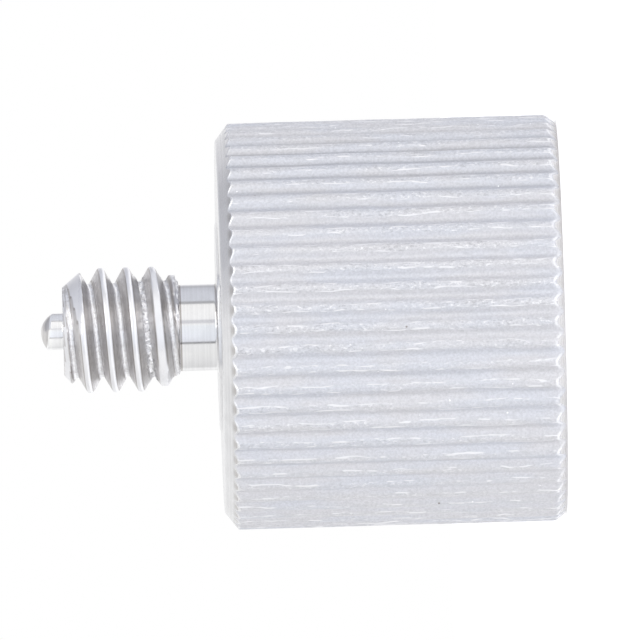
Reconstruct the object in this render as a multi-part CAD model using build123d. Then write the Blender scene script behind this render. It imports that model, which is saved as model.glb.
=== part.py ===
from build123d import *
import math
import os

# A tripod thread adapter, turned and knurled from one aluminium bar: a knurled body
# with a threaded socket in its open end, and a threaded stud on its shoulder.
# The origin is the centre of the open end face, and +Z runs along the axis to the
# stud. Sizes are in millimetres. Both threads are shown plain here: the stud is as
# thick as its thread's crests, and the socket as wide as the crests inside it.

# The body
BODY_LENGTH = 17.0
BODY_DIAMETER = 20.24  # over the crests of the knurl
SHOULDER_CHAMFER = 0.68  # at the stud end, along the axis
SHOULDER_CHAMFER_ANGLE = 52.0  # from the axis
MOUTH_CHAMFER = 0.55  # at the open end
CHAMFER_ANGLE = 45.0  # all the other chamfers, from the axis
BROKEN_EDGE = 0.15  # radius between a chamfer and its end face

# The straight knurl, pressed in by a wheel before the ends are chamfered
KNURL_PITCH = 1.025  # from tooth to tooth, round the crests
TOOTH_LAND = 0.225  # width of the flat that is left on each crest
GROOVE_ANGLE = 110.0  # between the two sides of a groove
GROOVE_ROOT_RADIUS = 0.2

# The low ring on the shoulder that seats against the camera
SEAT_DIAMETER = 10.6
SEAT_HEIGHT = 0.12

# The stud: 1/4 inch, 20 threads to the inch
STUD_LENGTH = 7.8  # from the shoulder to the end face
STUD_DIAMETER = 6.2
STUD_PITCH = 25.4 / 20
STUD_TIP_CHAMFER = 0.92
NECK_LENGTH = 2.0  # the run-out groove between shoulder and thread
NECK_UNDERCUT = 0.17  # how far the neck lies below the thread's roots
NECK_FILLET = 0.24
RUNOUT_BEVEL = 0.58  # length of the bevel where the thread ends at the neck

# The tip left where the part was cut from the bar
TIP_DIAMETER = 1.8
TIP_LENGTH = 1.1
TIP_CROWN = 0.45  # height of its rounded end

# The socket: 5/8 inch, 11 threads to the inch
SOCKET_THREAD_DIAMETER = 15.875
SOCKET_PITCH = 25.4 / 11
SOCKET_CREST_CLEARANCE = 0.1  # on the radius, over the basic form
SOCKET_DEPTH = 11.5  # to where the drill's point begins
SOCKET_MOUTH_CLEARANCE = 0.2  # on the radius, from thread to countersink
DRILL_POINT_ANGLE = 118.0

# Depths of a 60 degree thread as shares of its pitch
OUTER_THREAD_DEPTH = 0.6134
INNER_THREAD_DEPTH = 0.5413

body_radius = BODY_DIAMETER / 2
stud_radius = STUD_DIAMETER / 2
stud_end = BODY_LENGTH + STUD_LENGTH
chamfer_slope = math.tan(math.radians(CHAMFER_ANGLE))
shoulder_slope = math.tan(math.radians(SHOULDER_CHAMFER_ANGLE))
socket_crest_radius = (
    SOCKET_THREAD_DIAMETER / 2 - INNER_THREAD_DEPTH * SOCKET_PITCH + SOCKET_CREST_CLEARANCE
)


def rounded(face, corners, radius):
    """Round the face's corners that lie nearest to the given points."""
    chosen = [face.vertices().sort_by_distance(corner)[0] for corner in corners]
    return fillet(chosen, radius)


def turned(face):
    """Turn half a section, drawn as radius and height, about the axis."""
    return revolve(Plane.XZ * face, Axis.Z)


def body_blank():
    """The body before knurling: a chamfered bar with the low ring on its shoulder."""
    mouth_corner = (body_radius - MOUTH_CHAMFER * chamfer_slope, 0)
    shoulder_corner = (body_radius - SHOULDER_CHAMFER * shoulder_slope, BODY_LENGTH)
    seat_top = BODY_LENGTH + SEAT_HEIGHT
    outline = Polyline(
        (0, 0),
        mouth_corner,
        (body_radius, MOUTH_CHAMFER),
        (body_radius, BODY_LENGTH - SHOULDER_CHAMFER),
        shoulder_corner,
        (SEAT_DIAMETER / 2, BODY_LENGTH),
        (SEAT_DIAMETER / 2, seat_top),
        (0, seat_top),
        close=True,
    )
    return turned(rounded(make_face(outline), [mouth_corner, shoulder_corner], BROKEN_EDGE))


def knurl_grooves():
    """All the grooves of the knurl, each along the whole body."""
    tooth_count = round(math.pi * BODY_DIAMETER / KNURL_PITCH)
    groove_width = math.pi * BODY_DIAMETER / tooth_count - TOOTH_LAND
    half_spread = math.tan(math.radians(GROOVE_ANGLE / 2))
    sharp_depth = groove_width / 2 / half_spread
    # the cutter reaches as far outside the bar as inside it
    reach = 2 * sharp_depth
    side = reach * half_spread
    wedge = make_face(Polyline((0, 0), (reach, side), (reach, -side), close=True))
    cutter = rounded(wedge, [(0, 0)], GROOVE_ROOT_RADIUS)
    pattern = PolarLocations(body_radius - sharp_depth, tooth_count)
    return [extrude(place * cutter, BODY_LENGTH) for place in pattern]


def stud():
    """The neck, the thread's full diameter and the tip, up from inside the body."""
    neck_radius = stud_radius - OUTER_THREAD_DEPTH * STUD_PITCH - NECK_UNDERCUT
    neck_foot = (neck_radius, BODY_LENGTH + SEAT_HEIGHT)
    thread_start = BODY_LENGTH + NECK_LENGTH
    tip_radius = TIP_DIAMETER / 2
    tip_end = stud_end + TIP_LENGTH
    crown_foot = tip_end - TIP_CROWN
    crown = TangentArc((0, tip_end), (tip_radius, crown_foot), tangent=(1, 0))
    outline = Polyline(
        (0, tip_end),
        (0, BODY_LENGTH),
        (neck_radius + NECK_FILLET, BODY_LENGTH),
        (neck_radius + NECK_FILLET, BODY_LENGTH + SEAT_HEIGHT),
        neck_foot,
        (neck_radius, thread_start),
        (stud_radius, thread_start + RUNOUT_BEVEL),
        (stud_radius, stud_end - STUD_TIP_CHAMFER),
        (stud_radius - STUD_TIP_CHAMFER * chamfer_slope, stud_end),
        (tip_radius, stud_end),
        (tip_radius, crown_foot),
    )
    return turned(rounded(make_face(outline + crown), [neck_foot], NECK_FILLET))


def socket():
    """The blind hole: countersunk mouth, straight wall and drill point."""
    mouth_radius = SOCKET_THREAD_DIAMETER / 2 + SOCKET_MOUTH_CLEARANCE
    point_height = socket_crest_radius / math.tan(math.radians(DRILL_POINT_ANGLE / 2))
    outline = Polyline(
        (0, 0),
        (mouth_radius, 0),
        (socket_crest_radius, (mouth_radius - socket_crest_radius) / chamfer_slope),
        (socket_crest_radius, SOCKET_DEPTH),
        (0, SOCKET_DEPTH + point_height),
        close=True,
    )
    return turned(make_face(outline))


adapter = body_blank() - knurl_grooves() + stud() - socket()

os.makedirs("parts", exist_ok=True)
export_step(adapter, "parts/adapter.step")
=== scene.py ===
import math

import bpy
import numpy as np
from bpy.props import FloatProperty, FloatVectorProperty, IntProperty, PointerProperty
from mathutils import Matrix, Vector


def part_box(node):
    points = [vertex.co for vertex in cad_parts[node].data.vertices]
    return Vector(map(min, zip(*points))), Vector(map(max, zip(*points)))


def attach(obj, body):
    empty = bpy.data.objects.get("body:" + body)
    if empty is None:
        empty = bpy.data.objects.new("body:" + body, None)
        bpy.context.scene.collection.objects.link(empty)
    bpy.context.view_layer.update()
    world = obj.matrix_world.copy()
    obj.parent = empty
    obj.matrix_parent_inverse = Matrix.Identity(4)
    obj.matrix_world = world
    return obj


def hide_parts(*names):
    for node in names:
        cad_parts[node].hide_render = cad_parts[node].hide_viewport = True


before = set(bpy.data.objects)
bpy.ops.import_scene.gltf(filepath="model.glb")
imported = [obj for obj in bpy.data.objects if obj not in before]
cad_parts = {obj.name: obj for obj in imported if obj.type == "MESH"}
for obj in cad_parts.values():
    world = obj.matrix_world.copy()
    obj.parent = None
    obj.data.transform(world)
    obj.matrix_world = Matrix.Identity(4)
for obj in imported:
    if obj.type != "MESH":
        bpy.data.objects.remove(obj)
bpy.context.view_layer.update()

bl_info = {
    "name": "Tripod thread adapter",
    "version": (1, 0, 0),
    "blender": (4, 5, 0),
    "location": "3D View > Sidebar > Adapter",
    "description": "Builds a knurled tripod thread adapter and the studio it stands in",
    "category": "Add Mesh",
}

MM = 0.001
FULL_TURN = 2 * math.pi
adapter_low, adapter_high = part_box("adapter")
across = adapter_high.y - adapter_low.y


def length(name, millimetres, description):
    """A size, kept in metres, that shows in the scene's own unit."""
    return FloatProperty(
        name=name, default=millimetres * MM, description=description, unit="LENGTH",
        precision=5, min=0.0,
    )


def share(name, default, description):
    """A number from 0 to 1."""
    return FloatProperty(
        name=name, default=default, description=description, subtype="FACTOR", min=0.0, max=1.0
    )


def colour(name, default, description):
    """A colour that is the metal's or the light's own."""
    return FloatVectorProperty(
        name=name, default=default, description=description, subtype="COLOR", min=0.0, max=1.0
    )


def direction(name, degrees, description):
    """An angle that shows in degrees."""
    return FloatProperty(
        name=name, default=math.radians(degrees), description=description, subtype="ANGLE"
    )


class AdapterBody(bpy.types.PropertyGroup):
    """Sizes of the knurled body, its chamfers and the low ring on its shoulder."""

    diameter: length("Diameter", across / MM, "Over the crests of the knurl")
    height: length("Length", 17.0, "From the open end to the shoulder")
    shoulder_chamfer: length("Shoulder chamfer", 0.68, "At the stud end, along the axis")
    shoulder_angle: direction("Shoulder chamfer's angle", 52, "Measured from the axis")
    mouth_chamfer: length("Mouth chamfer", 0.51, "At the open end, along the axis")
    mouth_narrowing: length("Mouth narrowing", 0.45, "How far the chamfer goes inwards")
    broken_edge: length("Broken edge", 0.15, "Radius between a chamfer and its end face")
    teeth: IntProperty(name="Teeth", default=62, min=12, description="Teeth round the knurl")
    groove_depth: length("Groove depth", 0.2361, "From the crests to the grooves' roots")
    tooth_wander: length("Tooth wander", 0.024, "How far a tooth strays from its line")
    crest_wear: length("Crest wear", 0.022, "How far the crests are rubbed down, at most")
    seat_diameter: length("Seat diameter", 10.6, "The ring that seats against the camera")
    seat_height: length("Seat height", 0.12, "How far the ring stands above the shoulder")
    seat_slope: length("Seat slope", 0.2, "How far its rim slopes inwards, on two sides")


class AdapterStud(bpy.types.PropertyGroup):
    """Sizes of the threaded stud, its neck and the tip left by the parting tool."""

    diameter: length("Diameter", 6.2, "Over the thread's crests")
    pitch: length("Thread pitch", 25.4 / 20, "From crest to crest")
    reach: length("Length", 7.8, "From the shoulder to the stud's end face")
    neck_length: length("Neck length", 2.0, "The run-out groove at the shoulder")
    neck_radius: length("Neck radius", 2.151, "Of the run-out groove")
    neck_fillet: length("Neck fillet", 0.14, "Where the neck meets the seat")
    runout_bevel: length("Run-out bevel", 0.58, "Where the thread ends at the neck")
    end_chamfer: length("End chamfer", 0.92, "Where the thread starts")
    first_crest: length("First crest", 22.865, "Height of a crest on the +X side")
    tip_diameter: length("Tip diameter", 1.8, "The tip left where it was cut from the bar")
    tip_length: length("Tip length", 1.1, "From the stud's end face to the tip's crown")
    tip_crown: length("Tip crown", 0.45, "Height of the tip's rounded end")


class AdapterSocket(bpy.types.PropertyGroup):
    """Sizes of the threaded socket in the open end."""

    crest_radius: length("Crest radius", 6.7876, "Inside the thread's crests")
    mouth_radius: length("Mouth radius", 8.1375, "Of the countersink at the open end")
    pitch: length("Thread pitch", 25.4 / 11, "From crest to crest")
    depth: length("Depth", 11.5, "To where the drill's point begins")
    point_height: length("Drill point", 4.0784, "Height of the drilled cone")


class AdapterFinish(bpy.types.PropertyGroup):
    """Colours and roughness of the bare aluminium."""

    knurl: colour("Knurl", (0.703, 0.701, 0.724), "The satin metal of the knurl")
    knurl_cool: colour("Knurl, cooler", (0.687, 0.698, 0.740), "Its bluish patches")
    # also painted on the thread's roots and crests, partly as a painted highlight
    rubbed_and_highlit: colour("Rubbed metal", (0.88, 0.88, 0.90), "Worn crests, of the knurl and the thread")
    turned: colour("Turned faces", (0.80, 0.80, 0.81), "Chamfers and end faces")
    # also paints the highlights on edges and tooth ends, besides worn bright metal
    bright: colour("Bright metal", (0.97, 0.97, 0.98), "Rubbed edges and flecks")
    neck: colour("Neck", (0.86, 0.86, 0.87), "The smooth neck and tip")
    thread: colour("Thread", (0.72, 0.71, 0.715), "The cut flanks")
    # also paints shade at corners, beside crests and roots, on the thread's flanks and on the tip's
    # dome
    grime_and_shade: colour("Grime", (0.30, 0.27, 0.25), "What has settled in roots and pits")
    knurl_roughness: share("Knurl roughness", 0.62, "Of the pressed teeth")
    turned_roughness: share("Turned roughness", 0.24, "Of the chamfers and end faces")


class StudioSettings(bpy.types.PropertyGroup):
    """The camera's place, the floor and the light."""

    camera_distance: length("Camera distance", 1500.0, "From the adapter's axis")
    camera_turn: direction("Camera turn", -88.8, "Where it stands round the adapter, from +X")
    camera_rise: direction("Camera rise", 0.85, "How far above the adapter's middle it stands")
    camera_roll: direction("Camera roll", 1.62, "Tilt of the adapter's axis in the picture")
    aim_height: length("Aim height", 12.0, "Height on the axis that the camera looks at")
    aim_offset: length("Aim offset", 0.21, "How far beside the axis it looks")
    frame_width: length("Frame width", 31.87, "What the picture takes in at the axis")
    floor: colour("Floor", (0.82, 0.82, 0.83), "The pale floor")
    floor_light: colour("Floor, lighter", (0.85, 0.85, 0.85), "Its lighter patches")
    floor_radius: length("Floor radius", 300.0, "Of the floor's disc")
    overhead: colour("Overhead light", (0.95, 0.95, 0.96), "The light from straight above")
    lamp_size: length("Lamp size", 700.0, "Along each side of the square lamp")
    lamp_power: FloatProperty(
        name="Lamp power", default=3.0, min=0.0, unit="POWER", description="Of the soft lamp"
    )


class Skin:
    """Rings of points round the axis, joined into one closed mesh strip by strip."""

    def __init__(self):
        self.points, self.depths, self.edges = [], [], []
        self.faces, self.finishes = [], []
        self.count = 0

    def ring(self, radius, angle, height, depth=0.0, edge=0.0):
        """Adds a ring and returns the numbers of its points.

        depth is 1 at a root and 0 at a crest. edge is 1 where an edge is bright, partly wear and
        partly painted highlight, and below 0 where the metal gets painted shade.
        """
        radius, angle, height, depth, edge = np.broadcast_arrays(radius, angle, height, depth, edge)
        self.points.append(
            np.column_stack((radius * np.cos(angle), radius * np.sin(angle), height))
        )
        self.depths.append(depth)
        self.edges.append(edge)
        numbers = np.arange(self.count, self.count + len(angle))
        self.count += len(angle)
        return numbers

    def add_faces(self, faces, finish):
        """Takes faces as lists of point numbers."""
        self.faces.extend(faces)
        self.finishes.extend([finish] * len(faces))

    def join(self, first, second, finish):
        """Joins two rings, the second farther along the section, whatever their counts."""
        if len(first) == len(second):
            corners = np.column_stack((first, np.roll(first, -1), np.roll(second, -1), second))
            self.add_faces(corners.tolist(), finish)
            return
        fine, coarse = (first, second) if len(first) > len(second) else (second, first)
        ratio = len(fine) // len(coarse)
        faces = []
        for i in range(len(coarse)):
            here, after = coarse[i], coarse[(i + 1) % len(coarse)]
            split = i * ratio + ratio // 2
            for j in range(i * ratio, (i + 1) * ratio):
                a, b = fine[j], fine[(j + 1) % len(fine)]
                faces.append((a, b, here if j < split else after))
            faces.append((fine[split], after, here))
        if fine is second:
            faces = [face[::-1] for face in faces]
        self.add_faces([[int(n) for n in face] for face in faces], finish)

    def run(self, last, rings, finish):
        """Adds rings one after another, joined to an earlier ring, and returns the last."""
        for values in rings:
            ring = self.ring(*values)
            self.join(last, ring, finish)
            last = ring
        return last

    def close(self, ring, height, finish, start=False):
        """Closes the section with a point on the axis, at its start or its end."""
        centre = self.ring(0.0, np.zeros(1), height)[0]
        following = np.roll(ring, -1)
        corners = (centre, following, ring) if start else (centre, ring, following)
        faces = np.column_stack(np.broadcast_arrays(*corners))
        self.add_faces(faces.tolist(), finish)

    def mesh(self, name):
        """The Blender mesh, with the depth and edge attributes that the finishes read."""
        made = bpy.data.meshes.new(name)
        made.from_pydata(np.vstack(self.points).tolist(), [], self.faces)
        for label, values in (("depth", self.depths), ("edge", self.edges)):
            attribute = made.attributes.new(label, "FLOAT", "POINT")
            attribute.data.foreach_set("value", np.concatenate(values).astype(np.float32))
        made.polygons.foreach_set("material_index", np.array(self.finishes, dtype=np.int32))
        made.validate(verbose=False)
        made.shade_smooth()
        made.set_sharp_from_angle(angle=SHARP_FROM)
        return made


# The finishes, in the order of the mesh's materials
KNURLED, TURNED, SMOOTH, CUT, PARTED, BORED = range(6)
SHARP_FROM = math.radians(36)
# Depths of a 60 degree thread as shares of its pitch
OUTER_THREAD_DEPTH = 0.6134
INNER_THREAD_DEPTH = 0.5413
# One tooth of the knurl: share of the pitch from groove to groove, and share of the depth
TOOTH_SECTION = (
    (0.0, 1.0), (0.075, 0.945), (0.15, 0.77), (0.27, 0.385), (0.37, 0.085), (0.43, 0.012),
    (0.5, 0.0), (0.57, 0.012), (0.63, 0.085), (0.73, 0.385), (0.85, 0.77), (0.925, 0.945),
)
# Half a thread, from the crest: share of the pitch, and share of the depth
HALF_THREAD = (
    (0.0, 0.0), (0.06, 0.0), (0.095, 0.025), (0.125, 0.085), (0.19, 0.268), (0.26, 0.466),
    (0.33, 0.663), (0.385, 0.825), (0.405, 0.93), (0.44, 0.985), (0.5, 1.0),
)
KNURL_ROWS = 46
# Points on a plain ring, fewest first; each count divides the 744 points round the knurl
COARSE, BORE, STUD = 62, 124, 186
NICKS = 70
NICK_DEPTH = (0.02, 0.06)  # in millimetres
SIDE_GRAIN = 0.006 * MM  # how rough the teeth's sides are
ROOT_LIFT = 0.12  # how far a groove's root rises at most, as a share of the groove's depth
FAR = 1.0  # a distance that only gives a line its direction
# How far the pressed teeth stray from even spacing, in degrees at some angles round the axis
TOOTH_DRIFT = (
    (-180, 0.0), (-143, 0.3), (-130, -0.12), (-115, -0.1), (-92, 0.15), (-79, 0.0), (-56, -0.55),
    (-37, -0.9), (-15, -0.8), (60, 0.0),
)
# How bright the painted highlight on a tooth's pressed end is, from the mouth's chamfer up to the
# tooth's side
PRESSED_END_HIGHLIGHT = (0, 0.6, 1, 0.7, 0, 0, 0)


def even_angles(count):
    return np.arange(count) * FULL_TURN / count


def rings_of(outline, angles):
    """Turned rings, all with the same angles, from an outline of radius, height and edge."""
    return [(radius, angles, height, 0.0, edge) for radius, height, edge in outline]


def bend(radius_in, height_in, radius_out, height_out, corner, size, steps):
    """Points that round a corner between two straight lines of the section.

    The corner is (radius, height), and the lines come from the first point and go to the
    second. The points lie on an even curve that starts and ends size away from the corner.
    """
    corner = [np.asarray(value, dtype=float) for value in corner]
    arms = []
    for radius, height in ((radius_in, height_in), (radius_out, height_out)):
        across, along = radius - corner[0], height - corner[1]
        reach = np.hypot(across, along)
        arms.append((across / reach * size, along / reach * size))
    made = []
    for t in np.linspace(0.0, 1.0, steps):
        first, last = (1 - t) ** 2, t**2
        made.append([corner[k] + first * arms[0][k] + last * arms[1][k] for k in range(2)])
    return made


def smooth_noise(rng, count, knots):
    """Random values from -1 to 1 that change slowly over count places."""
    values = rng.uniform(-1, 1, knots + 3)
    place = np.linspace(0, knots, count)
    index = np.minimum(place.astype(int), knots - 1)
    t = place - index
    before, here, after, later = (values[index + k] for k in range(4))
    return 0.5 * (
        2 * here
        + (after - before) * t
        + (2 * before - 5 * here + 4 * after - later) * t**2
        + (3 * here - before - 3 * after + later) * t**3
    )


def knurl_rows(body):
    """Angles, radii and depths of the knurl's rows, from the mouth to the shoulder."""
    rng = np.random.default_rng(11)
    shares, drops = np.array(TOOTH_SECTION).T
    rows, teeth, columns = KNURL_ROWS, body.teeth, len(shares)
    tooth_angle = FULL_TURN / teeth
    angle = ((np.arange(teeth)[:, None] + shares) * tooth_angle).ravel()
    drift_at, drift_by = np.radians(TOOTH_DRIFT).T
    angle = angle + np.interp(angle, drift_at, drift_by, period=FULL_TURN)
    depth = np.tile(drops, teeth)
    crest_radius = body.diameter / 2
    wander, wear_and_highlight, fine = (np.zeros((rows, teeth)) for _ in range(3))
    for k in range(teeth):
        wander[:, k] = smooth_noise(rng, rows, 5) + 0.5 * smooth_noise(rng, rows, 12)
        wear_and_highlight[:, k] = 0.5 + 0.5 * smooth_noise(rng, rows, 9)
        fine[:, k] = rng.uniform(0, 1, rows)
    at_crest = np.clip(1 - drops / 0.2, 0, 1)
    at_root = np.clip((drops - 0.7) / 0.26, 0, 1)
    # neighbours share a groove, so its root wanders with both of them
    root_wander = (wander + np.roll(wander, 1, axis=1)) / 2
    strayed = (
        wander[:, :, None] * (1 - at_root)
        + root_wander[:, :, None] * np.where(shares < 0.5, at_root, 0)
        + np.roll(root_wander, -1, axis=1)[:, :, None] * np.where(shares < 0.5, 0, at_root)
    )
    turned_by = strayed * body.tooth_wander / crest_radius
    crest_drop = (wear_and_highlight[:, :, None] * 0.7 + fine[:, :, None] * 0.3) * at_crest * body.crest_wear
    root_lift = (0.5 + 0.5 * root_wander[:, :, None]) * at_root * ROOT_LIFT * body.groove_depth
    side_noise = rng.uniform(0, 1, (rows, teeth, columns)) * SIDE_GRAIN * np.clip(drops * 4, 0, 1)
    change = (root_lift - crest_drop - side_noise).reshape(rows, -1)
    # deeper nicks, where the teeth have been knocked
    for _ in range(NICKS):
        row, column = rng.integers(1, rows - 1), rng.integers(0, teeth * columns)
        if depth[column] < 0.2:
            change[row, column] -= rng.uniform(*NICK_DEPTH) * MM
    radius = np.minimum(crest_radius - depth * body.groove_depth + change, crest_radius)
    return angle + turned_by.reshape(rows, -1), radius, depth


def add_body(skin, body, mouth_ring):
    """The open end face, the knurl between its chamfers, and the shoulder up to the seat."""
    angle, radius, depth = knurl_rows(body)
    steady = angle.mean(axis=0)
    crest_radius = body.diameter / 2
    plain_radius = crest_radius - depth * body.groove_depth
    slant = np.array((-math.sin(body.shoulder_angle), math.cos(body.shoulder_angle)))
    steepness = math.tan(body.shoulder_angle)
    mouth_corner = crest_radius - body.mouth_narrowing
    shoulder_corner = crest_radius - body.shoulder_chamfer * steepness
    # where the two chamfers cut the teeth
    low = body.mouth_chamfer * (1 - (crest_radius - plain_radius) / body.mouth_narrowing)
    high = body.height - body.shoulder_chamfer + (crest_radius - plain_radius) / steepness
    broken = body.broken_edge * 0.4
    beside = broken + 0.03 * MM

    def tooth_end(row, share, ring_radius, height, edge):
        """A ring of the teeth's ends, so far on the way from even teeth to a row's teeth."""
        ring_radius = ring_radius + (radius[row] - plain_radius) * share
        return ring_radius, steady + (angle[row] - steady) * share, height, depth, edge

    # painted shade on the mouth's corner, deeper towards +X
    corner_shade = 0.38 + 0.22 * np.clip(np.cos(steady) * 1.5, 0, 1)
    turn = bend(0.0, 0.0, crest_radius, body.mouth_chamfer, (mouth_corner, 0.0), broken, 4)
    outline = [(mouth_corner - beside, 0.0, 0.0)] + [(*place, -corner_shade) for place in turn]
    last = skin.run(mouth_ring, rings_of(outline, steady), TURNED)

    # the mouth's end of each tooth is pressed over, so it is rounder than the shoulder's
    over = (0.19 + 0.045 * depth) * MM
    # painted highlight on the teeth's pressed ends, brighter on one side of each tooth, and painted
    # shade on the first ring
    lit_side = np.tile([1.0 if s > 0.5 else 0.65 for s, _ in TOOTH_SECTION], body.teeth)
    steps = len(PRESSED_END_HIGHLIGHT)
    turn = bend(mouth_corner, 0.0, plain_radius, low + FAR, (plain_radius, low), over, steps)
    rings = []
    for index, (place, wear_and_highlight) in enumerate(zip(turn, PRESSED_END_HIGHLIGHT)):
        worn_and_highlit = wear_and_highlight * np.clip(1.25 - depth, 0, 1) * lit_side
        rings.append(tooth_end(0, index / (steps - 1), *place, worn_and_highlit if index else worn_and_highlit - 0.4))
    last = skin.run(last, rings[:1], TURNED)
    last = skin.run(last, rings[1:], KNURLED)

    crisp = 0.05 * MM
    start, end = low + over + 0.05 * MM, high - crisp - 0.03 * MM
    rings = [
        (radius[row], angle[row], start + (end - start) * row / (KNURL_ROWS - 1), depth)
        for row in range(KNURL_ROWS)
    ]
    beyond = plain_radius + slant[0], high + slant[1]
    turn = bend(plain_radius, high - FAR, *beyond, (plain_radius, high), crisp, 4)
    # painted highlight on the teeth's ends at the shoulder, strongest at the crests
    worn_and_highlit = np.clip(1.3 - depth, 0, 1)
    rings += [tooth_end(-1, 1 - index / 3, *place, worn_and_highlit) for index, place in enumerate(turn)]
    last = skin.run(last, rings, KNURLED)

    # the chamfer's cone, with painted shade that is darkest just below the crests and fades towards
    # +X, then its broken edge, painted bright as wear and as painted highlight, and the flat
    near = (plain_radius + crisp * slant[0], high + crisp * slant[1])
    far = (shoulder_corner - 0.14 * MM * slant[0], body.height - 0.14 * MM * slant[1])
    crest = np.clip(1 - depth, 0, 1) * np.clip((0.9 - np.cos(steady)) / 0.35, 0, 1)
    outline = []
    for t, shade in ((0.07, 0.25 + 0.45 * crest), (0.3, 0.6 * crest), (0.6, 0.0), (0.94, 0.0)):
        place = (a + (b - a) * t for a, b in zip(near, far))
        outline.append((*place, -shade))
    turn = bend(
        shoulder_corner - slant[0], body.height - slant[1], 0.0, body.height,
        (shoulder_corner, body.height), broken, 4,
    )
    outline += [(*place, 0.8) for place in turn]
    outline.append((shoulder_corner - beside, body.height, 0.0))
    return skin.run(last, rings_of(outline, steady), TURNED)


def thread_rows(skin, angles, pitch, crest_height, low, high, forms, finish, inward=False):
    """A helical strip between two level rings; returns the low and the high ring.

    forms are three functions of angle, height and drop, which is the share of the depth:
    the first gives the radius, the same all round at low and at high, the second the edge
    and the third the depth that the finish shows. Columns follow the angles and rows the
    helix.
    """
    radius_at, edge_at, depth_at = forms
    shares, drops = np.array(HALF_THREAD).T
    shares = np.concatenate((shares, 1 - shares[-2:0:-1]))
    drops = np.concatenate((drops, drops[-2:0:-1]))
    per_turn, columns = len(shares), len(angles)
    first = math.floor((low - crest_height) / pitch) - 1
    last = math.ceil((high - crest_height) / pitch) + 1
    places = (np.arange(first, last)[:, None] + shares).ravel()
    drop = np.tile(drops, last - first)
    heights = crest_height + pitch * (places + angles[:, None] / FULL_TURN)
    snap = 0.012 * MM
    inside = (heights > low + snap) & (heights < high - snap)
    whole = np.ones(columns)
    low_ring, high_ring = (
        skin.ring(radius_at(angles, level * whole, whole), angles, level, 1.0)
        for level in (low, high)
    )
    numbers = np.where(heights <= low + snap, low_ring[:, None], high_ring[:, None])
    column, row = np.nonzero(inside)
    place = (angles[column], heights[inside], drop[row])
    numbers[inside] = skin.ring(radius_at(*place), *place[:2], depth_at(*place), edge_at(*place))
    rows = len(places)
    shifted = numbers[0, np.minimum(np.arange(rows) + per_turn, rows - 1)]
    around = np.vstack((numbers, shifted)).tolist()
    faces = []
    for here, after in zip(around, around[1:]):
        for j in range(rows - 1):
            # a face shrinks to fewer corners where it meets a level ring
            corners = list(dict.fromkeys((here[j], after[j], after[j + 1], here[j + 1])))
            if len(corners) > 2:
                faces.append(corners[::-1] if inward else corners)
    skin.add_faces(faces, finish)
    return low_ring, high_ring


def add_socket(skin, socket):
    """The blind hole, from the drill's point down to the open end face."""
    coarse, angles = even_angles(COARSE), even_angles(BORE)
    wall, mouth = socket.crest_radius, socket.mouth_radius
    point = socket.depth + socket.point_height

    def on_cone(radius, places):
        return radius, places, point - radius / wall * socket.point_height

    near = skin.ring(*on_cone(1.1 * MM, coarse))
    skin.close(near, point, BORED, start=True)
    rings = [
        on_cone(2.6 * MM, coarse), on_cone(3.2 * MM, angles), on_cone(wall - 0.1 * MM, angles),
        (wall, angles, socket.depth - 0.06 * MM),
    ]
    wall_ring = skin.run(near, rings, BORED)

    thread_depth = INNER_THREAD_DEPTH * socket.pitch
    fade_start, fade_end = 9.6 * MM, 10.9 * MM

    def radius_at(_, height, drop):
        # in a nut, the roots lie outside the crests
        fade = np.clip((fade_end - height) / (fade_end - fade_start), 0, 1)
        cut = wall + thread_depth * drop * fade
        return np.maximum(cut, mouth - height)

    def edge_at(_, height, drop):
        return np.clip(1 - drop * 20, 0, 1) * 0.5

    def depth_at(_, height, drop):
        return drop

    low, high = 0.085 * MM, 11.2 * MM
    forms = (radius_at, edge_at, depth_at)
    low_ring, high_ring = thread_rows(
        skin, angles, socket.pitch, 1.1 * MM, low, high, forms, BORED, inward=True
    )
    skin.join(wall_ring, high_ring, BORED)
    turn = bend(mouth - FAR, FAR, mouth + FAR, 0.0, (mouth, 0.0), 0.07 * MM, 3)
    outline = [(*place, 1.0) for place in turn] + [(mouth + 0.2 * MM, 0.0, 0.0)]
    return skin.run(low_ring, rings_of(outline, angles), TURNED)


def add_seat_and_neck(skin, body, stud, angles, shoulder_ring):
    """The low ring on the shoulder, and the neck up to where the thread starts."""
    seat_radius, seat_top = body.seat_diameter / 2, body.height + body.seat_height
    foot = stud.neck_radius + stud.neck_fillet
    slope = body.seat_slope * np.clip(np.abs(np.cos(angles)) * 5 - 1.75, 0, 1)
    corner = (seat_radius - slope, seat_top)
    # the seat's rim is painted bright, partly wear and partly painted highlight
    outline = [
        (seat_radius + 0.6 * MM, body.height, 0.0), (seat_radius + 0.04 * MM, body.height, 0.0),
        (seat_radius, body.height, 0.2),
    ]
    turn = bend(seat_radius, body.height, 0.0, seat_top, corner, 0.035 * MM, 3)
    outline += [(*place, 0.5) for place in turn]
    outline += [(corner[0] - 0.07 * MM, seat_top, 0.0), (foot + 0.03 * MM, seat_top, 0.0)]
    last = skin.run(shoulder_ring, rings_of(outline, angles), TURNED)

    # painted shade on the fillet, deeper towards +X, and a painted dark line of shade where the neck
    # ends
    shaded = 0.85 * np.clip(np.cos(angles) * 1.5 + 0.55, 0, 1)
    outline = []
    for t in np.linspace(0, math.pi / 2, 6):
        height = seat_top + stud.neck_fillet * (1 - math.cos(t))
        edge = -shaded * math.sin(2 * t)
        outline.append((foot - stud.neck_fillet * math.sin(t), height, edge))
    neck_top = body.height + stud.neck_length
    outline.append((stud.neck_radius, seat_top + stud.neck_fillet + 0.03 * MM, 0.0))
    for below, edge in ((0.11, 0.0), (0.08, -1.0), (0.02, -1.0)):
        outline.append((stud.neck_radius, neck_top - below * MM, edge))
    return skin.run(last, rings_of(outline, angles), SMOOTH)


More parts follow.
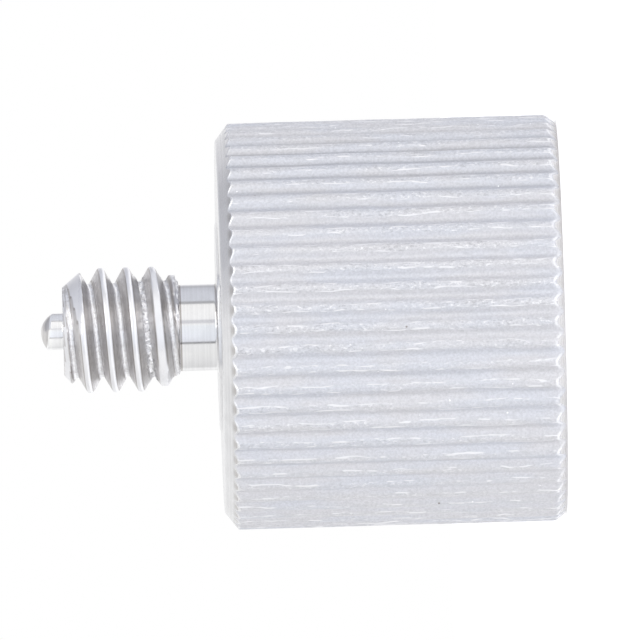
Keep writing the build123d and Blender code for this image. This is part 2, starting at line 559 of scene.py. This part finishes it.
def stud_forms(stud, neck_top, top):
    """The three forms of the stud's thread that thread_rows reads."""
    crest_radius = stud.diameter / 2
    thread_depth = OUTER_THREAD_DEPTH * stud.pitch
    rng = np.random.default_rng(5)
    lumps = [(rng.uniform(0, FULL_TURN), rng.uniform(3, 23), rng.uniform(20, 90)) for _ in range(9)]

    def burrs_at(angle, height, drop):
        """Where the tool has torn the root of the last turn before the neck."""
        along = height - angle / FULL_TURN * stud.pitch - stud.first_crest + 2.5 * stud.pitch
        near = np.clip(1 - np.abs(along / (0.5 * MM)), 0, 1)
        return np.clip(near * 2, 0, 1) * np.clip(drop * 2.5 - 1, 0, 1)

    def lowered_to(angle, height):
        """The radius to which a point's own crest is turned: less on the way to the neck."""
        turn = np.round((height - stud.first_crest) / stud.pitch - angle / FULL_TURN)
        crest_height = stud.first_crest + stud.pitch * (turn + angle / FULL_TURN)
        fall = 0.43 * (neck_top + 1.28 * MM - crest_height)
        return crest_radius - np.clip(fall, 0, 0.45 * MM)

    def chamfer_at(angle, height):
        """The end chamfer, a little steeper on one side."""
        return crest_radius - stud.end_chamfer + (top - height) * (1 - 0.18 * np.cos(angle))

    def depth_at(angle, height, drop):
        """How deep a point lies below its own crest, as a share; 0 on the end chamfer."""
        cut_off = (crest_radius - lowered_to(angle, height)) / thread_depth
        shown = np.clip((drop - cut_off) / (1 - cut_off), 0, 1)
        removed = crest_radius - thread_depth * drop - chamfer_at(angle, height)
        return shown * np.clip(1 - removed / (0.05 * MM), 0, 1)

    def edge_at(angle, height, drop):
        """Bright roots and burrs, partly wear and partly painted highlight, and painted shade where
        a flank meets its crest and root.
        """
        root = np.clip(drop * 10 - 9, 0, 1) * 0.4
        shown = depth_at(angle, height, drop)
        beside_crest = np.clip(np.minimum((shown - 0.03) / 0.04, (0.25 - shown) / 0.08), 0, 1)
        beside_root = (drop > 0.8) & (drop < 0.9)
        worn_and_highlit = np.maximum(root, burrs_at(angle, height, drop))
        return worn_and_highlit - 0.9 * beside_crest - 0.7 * beside_root

    def radius_at(angle, height, drop):
        turns = angle / FULL_TURN + (height - stud.first_crest) / stud.pitch * 0.31
        rough = sum(np.sin(phase + turns * count + height / MM * 5) for phase, count, _ in lumps)
        torn = np.clip(rough / 5, 0, 1) * 0.02 * MM * np.clip(1 - drop * 3, 0, 1)
        lumped = np.clip(-rough / 6, 0, 1) * 0.03 * MM * np.clip(drop * 4 - 3, 0, 1)
        burred = rng.uniform(0, 0.11 * MM, np.shape(height)) * burrs_at(angle, height, drop)
        cut = crest_radius - thread_depth * drop - torn + lumped + burred
        # the bevel starts with a narrow land, and is shorter where the turn runs out
        rise = (height - neck_top) / (stud.runout_bevel * (0.9 - 0.42 * np.cos(angle)))
        bevel = np.interp(rise, (0, 0.12, 0.44, 1.05), (0, 0.22, 0.24, 1.0))
        bevel = stud.neck_radius + bevel * (crest_radius - stud.neck_radius)
        limits = (cut, lowered_to(angle, height), bevel, chamfer_at(angle, height))
        return np.minimum.reduce(np.broadcast_arrays(*limits))

    return radius_at, edge_at, depth_at


def add_end(skin, stud, top, angles, thread_ring):
    """The stud's end face and the tip left by the parting tool."""
    tip_radius = stud.tip_diameter / 2
    end_radius = stud.diameter / 2 - stud.end_chamfer
    tip_angles = even_angles(COARSE)
    rings = [(end_radius - inwards * MM, angles, top) for inwards in (0.03, 0.25)]
    rings.append((end_radius - 0.5 * MM, tip_angles, top))
    rings += [(tip_radius + outwards * MM, tip_angles, top) for outwards in (0.12, 0.06)]
    last = skin.run(thread_ring, rings, TURNED)

    crown_foot = top + stud.tip_length - stud.tip_crown
    # the tip's rounded end is one arc, level at the axis
    crown_radius = (tip_radius**2 + stud.tip_crown**2) / (2 * stud.tip_crown)
    crown_angle = math.asin(tip_radius / crown_radius)
    straight = top + 0.2 * MM
    outline = [
        (tip_radius + 0.015 * MM, top + 0.02 * MM, 0.0), (tip_radius, top + 0.07 * MM, 0.0),
        (tip_radius, straight, 0.0), (tip_radius, crown_foot - 0.06 * MM, 0.0),
    ]
    for t in np.linspace(1, 0.12, 9):
        height = crown_foot + stud.tip_crown - crown_radius * (1 - math.cos(crown_angle * t))
        # the crown's foot is painted bright, partly wear and partly painted highlight, and the dome
        # has painted shade
        edge = 0.9 if t == 1 else -0.65
        outline.append((crown_radius * math.sin(crown_angle * t), height, edge))
    rings = []
    for radius, height, edge in outline:
        # the tip broke off a little askew
        share_up = np.clip((height - straight) / (crown_foot - straight), 0, 1)
        askew = 0.12 * MM * share_up * (radius / tip_radius) ** 2
        rings.append((radius, tip_angles, height - askew * np.cos(tip_angles), 0.0, edge))
    last = skin.run(last, rings, PARTED)
    skin.close(last, top + stud.tip_length, PARTED)


def add_stud(skin, body, stud, shoulder_ring):
    """The seat, the neck, the thread, the end face and the tip."""
    angles = even_angles(STUD)
    neck_top, top = body.height + stud.neck_length, body.height + stud.reach
    neck_ring = add_seat_and_neck(skin, body, stud, angles, shoulder_ring)
    forms = stud_forms(stud, neck_top, top)
    low_ring, high_ring = thread_rows(
        skin, angles, stud.pitch, stud.first_crest, neck_top, top, forms, CUT
    )
    skin.join(neck_ring, low_ring, SMOOTH)
    add_end(skin, stud, top, angles, high_ring)


class NodeBoard:
    """Adds nodes to a tree and wires or sets their inputs in the same call."""

    def __init__(self, tree):
        self.tree = tree

    def add(self, kind, inputs=None, **settings):
        """Adds a node; inputs maps an input's name or number to a socket or a value."""
        node = self.tree.nodes.new("ShaderNode" + kind)
        for name, value in settings.items():
            setattr(node, name, value)
        for key, value in (inputs or {}).items():
            if isinstance(value, bpy.types.NodeSocket):
                self.tree.links.new(value, node.inputs[key])
            else:
                node.inputs[key].default_value = value
        return node

    def math(self, operation, first, *others):
        """Adds, subtracts, compares or multiplies numbers, one after another."""
        for value in others or (0.0,):
            first = self.add("Math", {0: first, 1: value}, operation=operation).outputs[0]
        return first

    def product(self, *values):
        return self.math("MULTIPLY", *values)

    def between(self, value, low, high, to_low=0.0, to_high=1.0):
        """Maps a value smoothly from one range to another, and stays inside the second."""
        sockets = {
            "Value": value, "From Min": low, "From Max": high, "To Min": to_low, "To Max": to_high,
        }
        return self.add("MapRange", sockets, interpolation_type="SMOOTHSTEP").outputs["Result"]

    def mix(self, amount, a, b, blend="MIX"):
        """Mixes two colours, which come as sockets or as three numbers."""
        a, b = (c if isinstance(c, bpy.types.NodeSocket) else rgba(c) for c in (a, b))
        sockets = {0: amount, 6: a, 7: b}
        return self.add("Mix", sockets, data_type="RGBA", blend_type=blend).outputs[2]

    def scaled(self, tone, level):
        """A colour made darker or lighter by a number."""
        grey = self.add("CombineColor", {0: level, 1: level, 2: level}).outputs[0]
        return self.mix(1.0, tone, grey, "MULTIPLY")

    def noise(self, vector, scale, detail=2.0, roughness=0.5, output=0):
        sockets = {"Vector": vector, "Scale": scale, "Detail": detail, "Roughness": roughness}
        return self.add("TexNoise", sockets).outputs[output]

    def stretched(self, vector, factors):
        """A vector times another one, axis by axis."""
        return self.add("VectorMath", {0: vector, 1: factors}, operation="MULTIPLY").outputs[0]

    def place(self, stretch=(1.0, 1.0, 1.0)):
        """The point on the object in millimetres, squeezed or stretched along each axis."""
        point = self.add("TexCoord").outputs["Object"]
        return self.stretched(point, tuple(value / MM for value in stretch))

    def parts(self, vector):
        """A vector's X, Y and Z."""
        return self.add("SeparateXYZ", {0: vector}).outputs

    def vector(self, x, y, z):
        return self.add("CombineXYZ", {"X": x, "Y": y, "Z": z}).outputs[0]

    def attribute(self, name):
        return self.add("Attribute", attribute_name=name).outputs["Fac"]

    def effect(self, name, inputs):
        """Places a shared effect and returns its outputs."""
        return self.add("Group", inputs, node_tree=bpy.data.node_groups[name]).outputs

    def put_out(self, values):
        """Gives a shared effect its named outputs."""
        for label in values:
            self.tree.interface.new_socket(
                name=label, in_out="OUTPUT", socket_type="NodeSocketFloat"
            )
        leaving = self.tree.nodes.new("NodeGroupOutput")
        for label, value in values.items():
            self.tree.links.new(value, leaving.inputs[label])


def rgba(value):
    return (*value, 1.0)


def empty_board(owner):
    """A board on the cleared nodes of a material or a world."""
    owner.use_nodes = True
    owner.node_tree.nodes.clear()
    return NodeBoard(owner.node_tree)


def add_object(name, data):
    made = bpy.data.objects.new(name, data)
    bpy.context.scene.collection.objects.link(made)
    return made


def new_effect(name, inputs):
    """An empty shared effect; returns its board and its named inputs."""
    tree = bpy.data.node_groups.new(name, "ShaderNodeTree")
    for label, default in inputs.items():
        socket = tree.interface.new_socket(name=label, in_out="INPUT", socket_type="NodeSocketFloat")
        socket.default_value = default
    return NodeBoard(tree), tree.nodes.new("NodeGroupInput").outputs


def make_turning_marks():
    """Fine rings round the axis, as a lathe tool leaves them."""
    board, given = new_effect("turning_marks", {"Per millimetre": 12.0, "Unevenness": 0.3})
    point = board.place()
    parts = board.parts(point)
    flat = board.vector(parts["X"], parts["Y"], 0.0)
    radius = board.add("VectorMath", {0: flat}, operation="LENGTH").outputs["Value"]
    wobble = board.product(board.noise(point, 0.9), given["Unevenness"])
    section = board.vector(
        board.math("ADD", radius, wobble), 0.0, board.math("ADD", parts["Z"], wobble)
    )
    fine = board.noise(section, given["Per millimetre"], 3.0, 0.65)
    broad = board.noise(section, board.product(given["Per millimetre"], 0.22))
    height = board.math("ADD", board.product(fine, 0.7), board.product(broad, 0.3))
    board.put_out({"Height": height, "Tone": board.between(fine, 0.35, 0.68)})


def make_specks():
    """Small pits and stains, far apart."""
    board, given = new_effect("specks", {"Spacing": 1.2, "Size": 0.06, "Amount": 0.3})
    point = board.place()
    bent = board.noise(board.stretched(point, (3.0, 3.0, 3.0)), 2.0, output="Color")
    moved = board.add(
        "VectorMath", {0: bent, 1: (0.07, 0.07, 0.07), 2: point}, operation="MULTIPLY_ADD"
    ).outputs[0]
    scale = board.math("DIVIDE", 1.0, given["Spacing"])
    cell = board.add("TexVoronoi", {"Vector": moved, "Scale": scale}).outputs
    reach = board.product(given["Size"], scale)
    near = board.between(cell["Distance"], board.product(reach, 0.55), reach, 1, 0)
    draw = board.add("SeparateColor", {0: cell["Color"]}).outputs[0]
    mask = board.product(near, board.math("LESS_THAN", draw, given["Amount"]))
    board.put_out({"Mask": mask, "Depth": board.math("SUBTRACT", 1.0, mask)})


def make_sheen_and_shade_edges():
    """Bright edges, partly wear and partly painted highlight, broken up along their length, and
    painted shade where edge is below 0.
    """
    board, given = new_effect("sheen_and_shade_edges", {"Amount": 0.6, "Grain": 9.0})
    rubbed_and_highlit = board.between(board.noise(board.place(), given["Grain"], 3.0), 0.3, 0.55)
    edge = board.attribute("edge")
    reach = board.product(board.math("MAXIMUM", edge, 0.0), given["Amount"])
    board.put_out({"Mask": board.product(rubbed_and_highlit, reach), "Painted shade": board.between(edge, -0.1, -1.0)})


def make_patches():
    """Slow changes of tone over the metal."""
    board, given = new_effect("patches", {"Across": 0.8, "Along": 0.18})
    factors = board.vector(given["Across"], given["Across"], given["Along"])
    patch = board.noise(board.stretched(board.place(), factors), 1.0)
    board.put_out({"Value": board.between(patch, 0.38, 0.64)})


def new_metal(name, base, roughness, height, relief):
    """A bare metal; base, roughness and height come as functions of the node board."""
    material = bpy.data.materials.new(name)
    board = empty_board(material)
    bump = board.add("Bump", {"Strength": 1.0, "Distance": relief, "Height": height(board)})
    sockets = {
        "Base Color": base(board), "Metallic": 1.0, "Roughness": roughness(board),
        "Normal": bump.outputs[0],
    }
    shader = board.add("BsdfPrincipled", sockets)
    board.add("OutputMaterial", {"Surface": shader.outputs[0]})
    return material


def knurl_metal(finish):
    """The satin teeth: streaks, rubbed crest grains, pits, flecks, painted groove shade and
    tooth-end highlights.
    """

    def side(board):
        """How far a point lies towards +X, in millimetres."""
        return board.parts(board.place())["X"]

    def crest(board):
        """The rubbed crest, wider and narrower along its length, and the line at its rim."""
        limit = board.between(board.noise(board.place((1.0, 1.0, 0.4)), 1.1), 0.3, 0.7, 0.02, 0.42)
        depth = board.attribute("depth")
        beyond = board.math("SUBTRACT", depth, limit)
        band = board.between(beyond, 0.04, -0.04)
        rim = board.between(board.math("ABSOLUTE", beyond), 0.13, 0.04)
        rim = board.product(rim, board.between(depth, 0.005, 0.03))
        busy = board.product(
            board.between(board.noise(board.place((0.2, 0.2, 0.1)), 1.0), 0.4, 0.58, 0.3, 1.0),
            board.between(side(board), 4.0, 8.5, 1.0, 0.7),
            board.between(side(board), -2.5, -7.0, 1.0, 0.5),
        )
        return board.product(band, busy), rim

    def fine(board):
        return board.noise(board.place((1.0, 1.0, 0.55)), 8.5, 2.0, 0.6)

    def grains(board):
        band, rim = crest(board)
        dots = board.product(band, board.between(fine(board), 0.56, 0.68))
        dashes = board.noise(board.place((1.0, 1.0, 0.2)), 5.0)
        return board.math("MAXIMUM", board.product(rim, board.between(dashes, 0.5, 0.6)), dots)

    def dents(board):
        return board.product(crest(board)[0], board.between(fine(board), 0.44, 0.34))

    def streaks(board):
        return board.noise(board.place((1.0, 1.0, 0.06)), 11.0, 3.0, 0.6)

    def pits(board):
        return board.effect("specks", {"Spacing": 1.3, "Size": 0.085, "Amount": 0.14})

    def worn_and_highlit(board, amount):
        return board.effect("sheen_and_shade_edges", {"Amount": amount, "Grain": 3.0})["Mask"]

    def base(board):
        cool = board.effect("patches", {"Across": 0.9, "Along": 0.2})["Value"]
        tone = board.mix(cool, finish.knurl, finish.knurl_cool)
        depth = board.attribute("depth")
        groove_shade = board.math(
            "ADD", board.between(depth, 0.4, 0.85, 0.0, 0.12),
            board.between(depth, 0.88, 1.0, 0.0, 0.12),
        )
        # painted shade in the grooves, deepest at their roots, towards +X; towards -X the grooves
        # are painted lighter
        shade_by_side = board.math(
            "ADD", board.between(side(board), 3.5, 8.5, 0.0, 0.75),
            board.between(side(board), -2.0, -5.5, 0.0, -0.2),
        )
        mottle = board.noise(board.place((1.0, 1.0, 0.85)), 9.0, 3.0, 0.7)
        level = board.product(
            board.between(streaks(board), 0.3, 0.7, 0.965, 1.03),
            board.math("SUBTRACT", 1.0, board.product(groove_shade, shade_by_side)),
            board.between(mottle, 0.3, 0.7, 0.925, 1.07),
            board.between(dents(board), 0.0, 1.0, 1.0, 0.86),
        )
        flecks = board.effect("specks", {"Spacing": 0.75, "Size": 0.06, "Amount": 0.16})["Mask"]
        metal = board.mix(grains(board), board.scaled(tone, level), finish.rubbed_and_highlit)
        metal = board.mix(flecks, metal, finish.bright)
        # bright tooth ends and edges, partly wear and partly painted highlight
        metal = board.mix(worn_and_highlit(board, 0.8), metal, finish.bright)
        return board.mix(board.product(pits(board)["Mask"], 0.8), metal, finish.grime_and_shade)

    def roughness(board):
        uneven = board.between(streaks(board), 0.3, 0.7, -0.05, 0.05)
        plain = board.math("ADD", uneven, finish.knurl_roughness)
        return board.math("SUBTRACT", plain, board.product(grains(board), 0.22), worn_and_highlit(board, 0.35))

    def height(board):
        raised = board.math("SUBTRACT", grains(board), dents(board))
        return board.math("ADD", streaks(board), raised, pits(board)["Depth"])

    return new_metal("knurled_aluminium", base, roughness, height, 0.010 * MM)


def turned_metal(name, plain, finish, roughness, rings, relief, grime_and_shade, contrast):
    """Lathe-turned metal: rings round the axis, bright edges (wear and painted highlight), painted
    shade where edge is below 0, and pits.
    """

    def marks(board):
        return board.effect("turning_marks", {"Per millimetre": rings, "Unevenness": 0.05})

    def threaded(board, metal):
        """Darker flanks, partly grime and partly painted shade, and bright crests and roots, partly
        rubbed metal and partly painted highlight.
        """
        depth = board.attribute("depth")
        flank = board.product(board.between(depth, 0.05, 0.3), board.between(depth, 0.97, 0.88))
        broken = board.between(board.noise(board.place(), 3.5, 3.0), 0.3, 0.7, 0.3, 1.0)
        metal = board.mix(board.product(flank, broken, grime_and_shade), metal, finish.grime_and_shade)
        metal = board.mix(board.between(depth, 0.08, 0.02), metal, finish.rubbed_and_highlit)
        root = board.between(depth, 0.86, 0.94)
        speckled = board.between(board.noise(board.place(), 6.0, 3.0), 0.38, 0.58, 0.25, 1.0)
        return board.mix(board.product(root, speckled), metal, finish.rubbed_and_highlit)

    def base(board):
        patch = board.effect("patches", {"Across": 0.7, "Along": 0.7})["Value"]
        level = board.product(
            board.between(marks(board)["Tone"], 0.0, 1.0, 1 - contrast, 1 + contrast),
            board.between(patch, 0.0, 1.0, 0.97, 1.02),
        )
        metal = board.scaled(plain, level)
        if grime_and_shade:
            metal = threaded(board, metal)
        # bright edges, partly wear and partly painted highlight, then painted shade where edge is
        # below 0
        edges = board.effect("sheen_and_shade_edges", {"Amount": 0.5, "Grain": 6.0})
        metal = board.mix(edges["Mask"], metal, finish.bright)
        metal = board.mix(board.product(edges["Painted shade"], 0.7), metal, finish.grime_and_shade)
        pits = board.effect("specks", {"Spacing": 1.1, "Size": 0.05, "Amount": 0.12})["Mask"]
        return board.mix(board.product(pits, 0.5), metal, finish.grime_and_shade)

    def uneven(board):
        return board.between(marks(board)["Tone"], 0.0, 1.0, roughness * 1.25, roughness * 0.85)

    def height(board):
        return marks(board)["Height"]

    return new_metal(name, base, uneven, height, relief)


class ADAPTER_OT_make_adapter(bpy.types.Operator):
    """Make the knurled adapter as one closed mesh with its finishes"""

    bl_idname = "adapter.make_adapter"
    bl_label = "Make the adapter"

    def execute(self, context):
        scene = context.scene
        body, stud, finish = scene.adapter_body, scene.adapter_stud, scene.adapter_finish
        for make in (make_turning_marks, make_specks, make_sheen_and_shade_edges, make_patches):
            make()
        skin = Skin()
        mouth_ring = add_socket(skin, scene.adapter_socket)
        shoulder_ring = add_body(skin, body, mouth_ring)
        add_stud(skin, body, stud, shoulder_ring)
        mesh = skin.mesh("turned_adapter")
        mesh.materials.append(knurl_metal(finish))
        for name, plain, rough, rings, relief, grime_and_shade, contrast in (
            ("turned_aluminium", finish.turned, finish.turned_roughness, 14.0, 0.0015, 0.0, 0.055),
            ("smooth_neck", finish.neck, 0.1, 6.0, 0.001, 0.0, 0.03),
            ("cut_thread", finish.thread, 0.32, 9.0, 0.004, 0.25, 0.055),
            ("parted_tip", finish.bright, 0.16, 7.0, 0.002, 0.0, 0.08),
            ("bored_socket", finish.turned, 0.3, 7.0, 0.003, 0.2, 0.055),
        ):
            metal = turned_metal(name, plain, finish, rough, rings, relief * MM, grime_and_shade, contrast)
            mesh.materials.append(metal)
        adapter = add_object("turned_adapter", mesh)
        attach(adapter, "root")
        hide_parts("adapter")
        return {"FINISHED"}


# Light from each side of the adapter's axis, in degrees from the camera towards +X, as a
# grey level or a colour: a white panel in front, a narrow dark gap above and below it, a
# grey ceiling, a white back
SURROUND = (
    (-180, 1.0), (-169, 0.96), (-159, 0.92), (-147, 1.0), (-141, 1.0), (-131, 0.78),
    (-100, 0.885), (-77, (0.93, 0.93, 0.92)), (-46.5, 0.96), (-44.5, 0.92),
    (-43, (0.30, 0.30, 0.31)), (-39, (0.30, 0.30, 0.31)), (-37.5, (0.86, 0.88, 0.94)),
    (-20, (0.91, 0.94, 1.0)), (4, (0.93, 0.96, 1.0)), (10, 1.0), (12.5, (0.70, 0.70, 0.73)),
    (19.5, (0.70, 0.70, 0.73)), (22.5, 1.0), (65.5, (1.05, 1.04, 1.03)),
    (68, (0.45, 0.45, 0.47)), (74, (0.45, 0.45, 0.47)), (77, (0.71, 0.73, 0.79)),
    (112, (0.67, 0.685, 0.745)), (130, (0.62, 0.635, 0.69)), (141, (0.50, 0.505, 0.54)),
    (149, (0.56, 0.565, 0.60)), (156, (0.78, 0.78, 0.81)), (167, (0.86, 0.86, 0.88)),
    (175, 1.0), (180, 1.0),
)
WHITE = (1.0, 1.0, 1.0)


class STUDIO_OT_make_studio(bpy.types.Operator):
    """Make the camera, the pale floor, the light all round and one soft lamp"""

    bl_idname = "adapter.make_studio"
    bl_label = "Make the studio"

    def execute(self, context):
        scene, studio = context.scene, context.scene.adapter_studio
        scene.view_settings.view_transform = "Standard"
        self.make_camera(scene, studio)
        self.make_floor(studio)
        self.make_surround(scene, studio)
        self.make_lamp(studio)
        return {"FINISHED"}

    def make_camera(self, scene, studio):
        turn, rise, roll = studio.camera_turn, studio.camera_rise, studio.camera_roll
        towards = Vector(
            (math.cos(turn) * math.cos(rise), math.sin(turn) * math.cos(rise), math.sin(rise))
        )
        along = (Vector((0, 0, 1)) - towards * towards.z).normalized()
        up = along.cross(towards) * math.cos(roll) - along * math.sin(roll)
        data = bpy.data.cameras.new("studio_camera")
        data.sensor_width = 36.0
        data.lens = data.sensor_width * studio.camera_distance / studio.frame_width
        data.clip_start, data.clip_end = 0.05, 20.0
        camera = add_object("studio_camera", data)
        aim = Vector((0, 0, studio.aim_height)) + up * studio.aim_offset
        matrix = Matrix((up.cross(towards), up, towards)).transposed().to_4x4()
        matrix.translation = aim + towards * studio.camera_distance
        camera.matrix_world = matrix
        scene.camera = camera

    def make_floor(self, studio):
        corners = [
            (studio.floor_radius * math.cos(a), studio.floor_radius * math.sin(a), 0.0)
            for a in even_angles(96)
        ]
        mesh = bpy.data.meshes.new("studio_floor")
        mesh.from_pydata(corners, [], [range(len(corners))])
        material = bpy.data.materials.new("pale_floor")
        board = empty_board(material)
        rays = board.add("LightPath").outputs
        kinds = (rays[f"Is {kind} Ray"] for kind in ("Camera", "Glossy", "Transmission"))
        seen = board.math("MAXIMUM", *kinds)
        grain = board.between(board.noise(board.place((0.02, 0.02, 0.02)), 1.0, 3.0), 0.3, 0.7)
        sockets = {
            "Base Color": board.mix(grain, studio.floor, studio.floor_light), "Roughness": 0.8,
            "Emission Color": rgba(WHITE), "Emission Strength": board.product(seen, 0.4),
        }
        shader = board.add("BsdfPrincipled", sockets)
        board.add("OutputMaterial", {"Surface": shader.outputs[0]})
        mesh.materials.append(material)
        floor = add_object("studio_floor", mesh)

    def make_surround(self, scene, studio):
        world = bpy.data.worlds.new("studio_surround")
        board = empty_board(world)
        parts = board.parts(board.add("TexCoord").outputs["Generated"])
        turn = board.math("ARCTAN2", parts["Y"], parts["X"])
        turns = board.math("DIVIDE", board.math("SUBTRACT", turn, studio.camera_turn), FULL_TURN)
        place = board.math("FRACT", board.math("ADD", turns, 1.5))
        ramp = board.add("ValToRGB", {0: place})
        stops = ramp.color_ramp.elements
        for index, (degrees, light) in enumerate(SURROUND):
            stop = stops[index] if index < 2 else stops.new(1.0)
            stop.position = degrees / 360 + 0.5
            stop.color = rgba((light,) * 3 if isinstance(light, float) else light)
        # straight above, the panels run together
        above = board.between(board.math("ABSOLUTE", parts["Z"]), 0.95, 1.0)
        light = board.mix(above, ramp.outputs[0], studio.overhead)
        shown = board.mix(board.add("LightPath").outputs["Is Camera Ray"], light, WHITE)
        background = board.add("Background", {"Color": shown, "Strength": 1.0})
        board.add("OutputWorld", {"Surface": background.outputs[0]})
        scene.world = world

    def make_lamp(self, studio):
        data = bpy.data.lights.new("soft_lamp", "AREA")
        data.shape, data.size, data.size_y = "RECTANGLE", studio.lamp_size, studio.lamp_size
        data.energy = studio.lamp_power
        lamp = add_object("soft_lamp", data)
        lamp.location = (0.35, -0.75, 0.8)
        lamp.rotation_mode = "QUATERNION"
        lamp.rotation_quaternion = lamp.location.to_track_quat("Z", "Y")


class ADAPTER_PT_panel(bpy.types.Panel):
    """Lists the sizes and finishes of the adapter and the studio"""

    bl_idname = "ADAPTER_PT_panel"
    bl_label = "Tripod thread adapter"
    bl_space_type = "VIEW_3D"
    bl_region_type = "UI"
    bl_category = "Adapter"

    def draw(self, context):
        for group in ("adapter_body", "adapter_stud", "adapter_socket", "adapter_finish"):
            self.draw_group(getattr(context.scene, group))
        self.layout.operator(ADAPTER_OT_make_adapter.bl_idname)
        self.draw_group(context.scene.adapter_studio)
        self.layout.operator(STUDIO_OT_make_studio.bl_idname)

    def draw_group(self, group):
        box = self.layout.box()
        for name in group.__annotations__:
            box.prop(group, name)


SETTINGS = {
    "adapter_body": AdapterBody, "adapter_stud": AdapterStud, "adapter_socket": AdapterSocket,
    "adapter_finish": AdapterFinish, "adapter_studio": StudioSettings,
}
CLASSES = (
    *SETTINGS.values(), ADAPTER_OT_make_adapter, STUDIO_OT_make_studio, ADAPTER_PT_panel,
)


def register():
    for cls in CLASSES:
        bpy.utils.register_class(cls)
    for name, group in SETTINGS.items():
        setattr(bpy.types.Scene, name, PointerProperty(type=group))


def unregister():
    for name in SETTINGS:
        delattr(bpy.types.Scene, name)
    for cls in reversed(CLASSES):
        bpy.utils.unregister_class(cls)


def main():
    register()
    bpy.ops.adapter.make_adapter()
    bpy.ops.adapter.make_studio()


if __name__ == "__main__":
    main()
